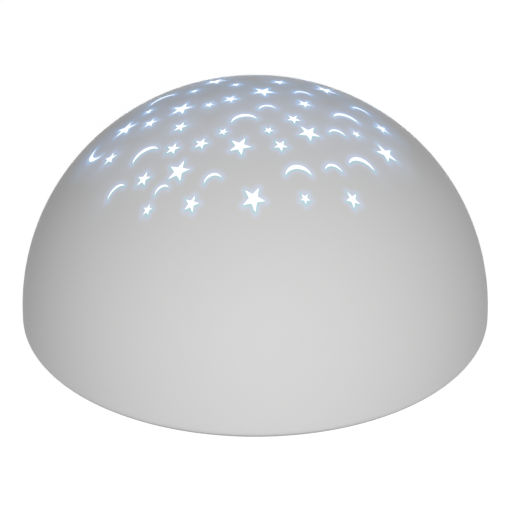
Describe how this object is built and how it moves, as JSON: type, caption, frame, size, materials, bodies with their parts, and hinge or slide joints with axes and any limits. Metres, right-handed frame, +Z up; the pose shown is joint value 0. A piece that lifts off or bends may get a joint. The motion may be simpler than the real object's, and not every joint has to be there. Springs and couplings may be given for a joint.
{
  "type": "star night light projector",
  "caption": "White dome night light pierced with stars and crescent moons, on a low round battery base with rubber feet, a hinged battery door and a slide switch underneath.",
  "frame": {"origin": "on the floor, under the middle of the round base", "axes": "+Z up through the top of the dome, -Y to the front, +X to the right seen from the front"},
  "size_m": [0.15, 0.15, 0.0792],
  "materials": {
    "dome_plastic": "semi-gloss moulded white",
    "base_plastic": "fine matt moulded white",
    "deck_plastic": "smooth bright white",
    "foot_rubber": "soft matt grey",
    "screw_steel": "zinc plated",
    "cell_wrap": "printed film, plain",
    "contact_nickel": "nickel plated strip",
    "spring_nickel": "nickel plated wire",
    "nut_brass": "turned brass",
    "clip_black": "moulded nylon",
    "board_laminate": "lacquered laminate",
    "lamp_clear": "water clear resin",
    "lead_tin": "tinned",
    "spacer_nylon": "natural nylon",
    "chip_black": "moulded resin",
    "capacitor_aluminium": "drawn can",
    "resistor_ceramic": "glazed ceramic",
    "can_steel": "nickel plated sheet",
    "insulator_board": "phenolic paper",
    "knob_grey": "moulded grey",
    "slider_black": "moulded black",
    "wire_red": "insulation",
    "wire_black": "insulation",
    "wire_white": "insulation",
    "wire_yellow": "insulation",
    "wire_blue": "insulation"
  },
  "bodies": {
    "housing": {"aa_cell_1": "cell_wrap", "aa_cell_2": "cell_wrap", "aa_cell_3": "cell_wrap", "base_plate": "base_plastic", "base_screws": "screw_steel", "battery_spring_1": "spring_nickel", "battery_spring_2": "spring_nickel", "battery_spring_3": "spring_nickel", "board_screws": "screw_steel", "chip_resistors": "resistor_ceramic", "circuit_board": "board_laminate", "contact_bridge_back": "contact_nickel", "contact_bridge_front": "contact_nickel", "contact_negative": "contact_nickel", "contact_positive": "contact_nickel", "control_chip": "chip_black", "deck_screws": "screw_steel", "dome_shell": "dome_plastic", "door_screw_nut": "nut_brass", "led_lamp": "lamp_clear", "led_leads": "lead_tin", "led_spacer": "spacer_nylon", "light_deck": "deck_plastic", "rubber_foot_back": "foot_rubber", "rubber_foot_front": "foot_rubber", "rubber_foot_left": "foot_rubber", "rubber_foot_right": "foot_rubber", "storage_capacitor": "capacitor_aluminium", "switch_can": "can_steel", "switch_insulator": "insulator_board", "switch_screws": "screw_steel", "switch_terminals": "lead_tin", "wire_battery_negative": "wire_black", "wire_battery_positive": "wire_red", "wire_switch_colour": "wire_blue", "wire_switch_common": "wire_yellow", "wire_switch_white": "wire_white"},
    "battery_door": {"battery_door": "base_plastic"},
    "door_screw": {"door_screw": "screw_steel", "door_screw_clip": "clip_black"},
    "switch_button": {"switch_knob": "knob_grey", "switch_slider": "slider_black"}
  },
  "joints": [
    {"name": "battery_door_hinge", "type": "hinge", "parent": "housing", "child": "battery_door", "pos_m": [0, 0.0328, 0.0039], "axis": [1, 0, 0], "range_deg": [0, 90]},
    {"name": "door_screw_turn", "type": "hinge", "parent": "battery_door", "child": "door_screw", "pos_m": [0, -0.0343, 0.0017], "axis": [0, 0, 1], "continuous": true},
    {"name": "switch_slide", "type": "slide", "parent": "housing", "child": "switch_button", "axis": [0, 1, 0], "range_m": [-0.002, 0.002]}
  ]
}
